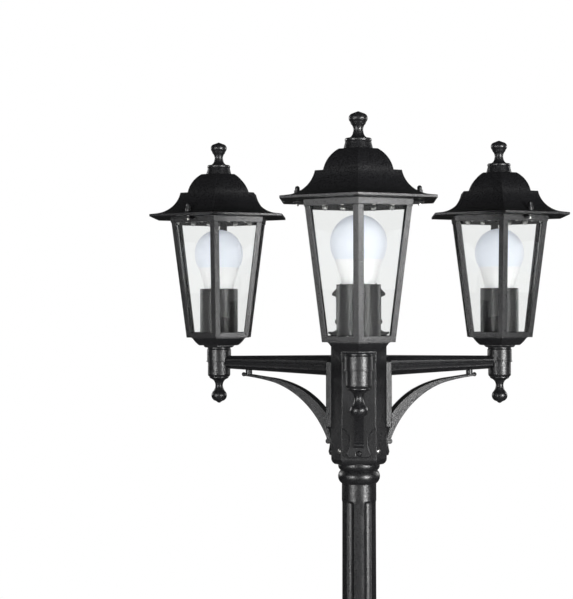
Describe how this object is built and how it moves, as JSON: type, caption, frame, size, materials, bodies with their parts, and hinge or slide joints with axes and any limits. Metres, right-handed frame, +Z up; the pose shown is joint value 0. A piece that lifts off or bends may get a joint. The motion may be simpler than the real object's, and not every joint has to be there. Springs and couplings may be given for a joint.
{
  "type": "lamp post",
  "caption": "Free-standing garden lamp post: fluted tapering column on a flared six-sided foot, curved braced arms and hexagonal glazed lanterns with lift-off roofs.",
  "frame": {"origin": "centre of the foot's underside, on the column's axis, where the post stands on the ground", "axes": "+Z up the column, -Y towards the front arm; the other arms are 120 degrees to either side"},
  "size_m": [0.523, 0.501, 1.687],
  "materials": {
    "coat": "black fine-textured powder coat on cast aluminium, satin",
    "coated_screws": "black coated steel, satin",
    "sleeve_coat": "black painted steel tube, satin",
    "zinc_steel": "zinc-plated steel",
    "pane_glass": "clear flat glass, polished",
    "holder_plastic": "moulded, matt",
    "terminal_plastic": "moulded, matt",
    "cap_metal": "pressed sheet, bright",
    "bulb_white": "white moulded, satin",
    "bulb_opal": "opal diffuser, satin"
  },
  "bodies": {
    "post": {"pedestal_base": "coat", "lower_post": "coat", "mid_coupler": "coat", "upper_post": "coat", "column_head": "coat", "column_cap": "coat", "column_finial": "coat", "post_screws": "coated_screws", "head_screws": "zinc_steel", "plate_screws": "zinc_steel", "terminal_block": "terminal_plastic", "stem_nipples": "zinc_steel", "roof_studs": "zinc_steel", "arm_front": "coat", "hub_cup_front": "coat", "drop_finial_front": "coat", "brace_front": "coat", "lantern_base_front": "coat", "cage_front": "coat", "panes_front": "pane_glass", "sleeve_front": "sleeve_coat", "socket_front": "holder_plastic", "arm_right": "coat", "hub_cup_right": "coat", "drop_finial_right": "coat", "brace_right": "coat", "lantern_base_right": "coat", "cage_right": "coat", "panes_right": "pane_glass", "sleeve_right": "sleeve_coat", "socket_right": "holder_plastic", "arm_left": "coat", "hub_cup_left": "coat", "drop_finial_left": "coat", "brace_left": "coat", "lantern_base_left": "coat", "cage_left": "coat", "panes_left": "pane_glass", "sleeve_left": "sleeve_coat", "socket_left": "holder_plastic"},
    "roof_front": {"roof_front": "coat", "roof_finial_front": "coat", "cap_nuts_front": "coated_screws"},
    "bulb_front": {"bulb_cap_front": "cap_metal", "bulb_housing_front": "bulb_white", "bulb_dome_front": "bulb_opal"},
    "roof_right": {"roof_right": "coat", "roof_finial_right": "coat", "cap_nuts_right": "coated_screws"},
    "bulb_right": {"bulb_cap_right": "cap_metal", "bulb_housing_right": "bulb_white", "bulb_dome_right": "bulb_opal"},
    "roof_left": {"roof_left": "coat", "roof_finial_left": "coat", "cap_nuts_left": "coated_screws"},
    "bulb_left": {"bulb_cap_left": "cap_metal", "bulb_housing_left": "bulb_white", "bulb_dome_left": "bulb_opal"}
  },
  "joints": [
    {"name": "roof_lift_front", "type": "slide", "parent": "post", "child": "roof_front", "axis": [0, 0, 1], "range_m": [0, 0.1]},
    {"name": "roof_lift_right", "type": "slide", "parent": "post", "child": "roof_right", "axis": [0, 0, 1], "range_m": [0, 0.1]},
    {"name": "roof_lift_left", "type": "slide", "parent": "post", "child": "roof_left", "axis": [0, 0, 1], "range_m": [0, 0.1]},
    {"name": "bulb_turn_front", "type": "hinge", "parent": "post", "child": "bulb_front", "pos_m": [0, -0.206, 1.5], "axis": [0, 0, 1], "continuous": true},
    {"name": "bulb_turn_right", "type": "hinge", "parent": "post", "child": "bulb_right", "pos_m": [0.1784, 0.103, 1.5], "axis": [0, 0, 1], "continuous": true},
    {"name": "bulb_turn_left", "type": "hinge", "parent": "post", "child": "bulb_left", "pos_m": [-0.1784, 0.103, 1.5], "axis": [0, 0, 1], "continuous": true}
  ]
}
